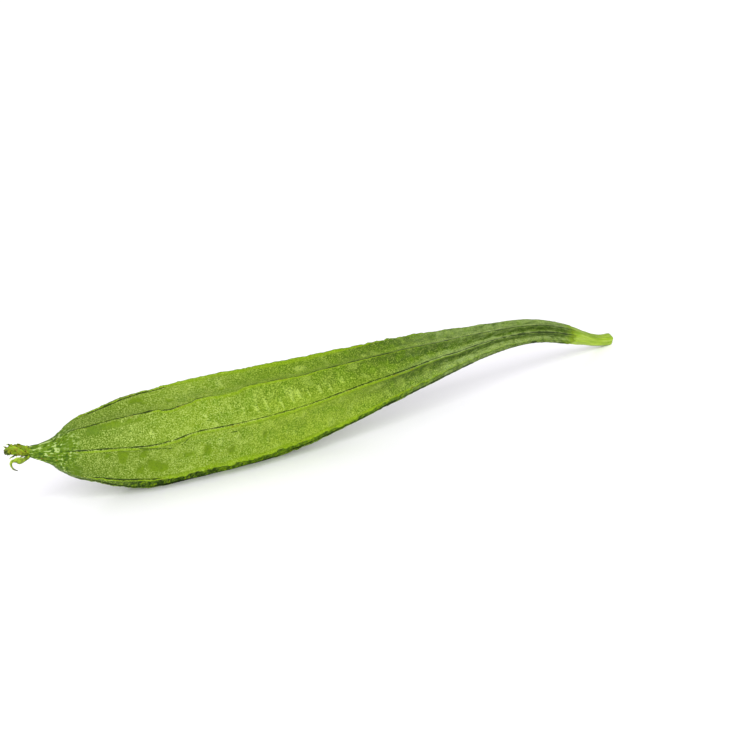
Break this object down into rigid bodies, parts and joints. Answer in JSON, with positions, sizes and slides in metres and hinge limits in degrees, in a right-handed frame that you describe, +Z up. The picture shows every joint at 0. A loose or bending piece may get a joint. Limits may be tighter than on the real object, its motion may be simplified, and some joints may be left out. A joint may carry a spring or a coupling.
{
  "type": "ridge gourd",
  "caption": "Whole ridge gourd lying on its belly: long tapering fruit with sharp lengthwise ridges, thin drooping neck, cut stem, nipple with withered blossom and a curled sepal.",
  "frame": {"origin": "centre of the bounding box, on the surface that the fruit lies on", "axes": "+X along the fruit from its blossom end to its stem, +Y to the side that the neck bends to, +Z up from the surface"},
  "size_m": [0.3724, 0.0765, 0.0479],
  "materials": {
    "rind": "fresh green rind, satin, finely speckled, with darker crest lines",
    "stem": "fresh yellow-green stem, ribbed, downy satin",
    "withered_blossom": "dry crumpled brown-green, matte",
    "sepal": "pale green leaf, satin"
  },
  "bodies": {
    "root": {"fruit": "rind", "stem": "stem", "blossom_stub": "withered_blossom", "curled_sepal": "sepal"}
  },
  "joints": []
}
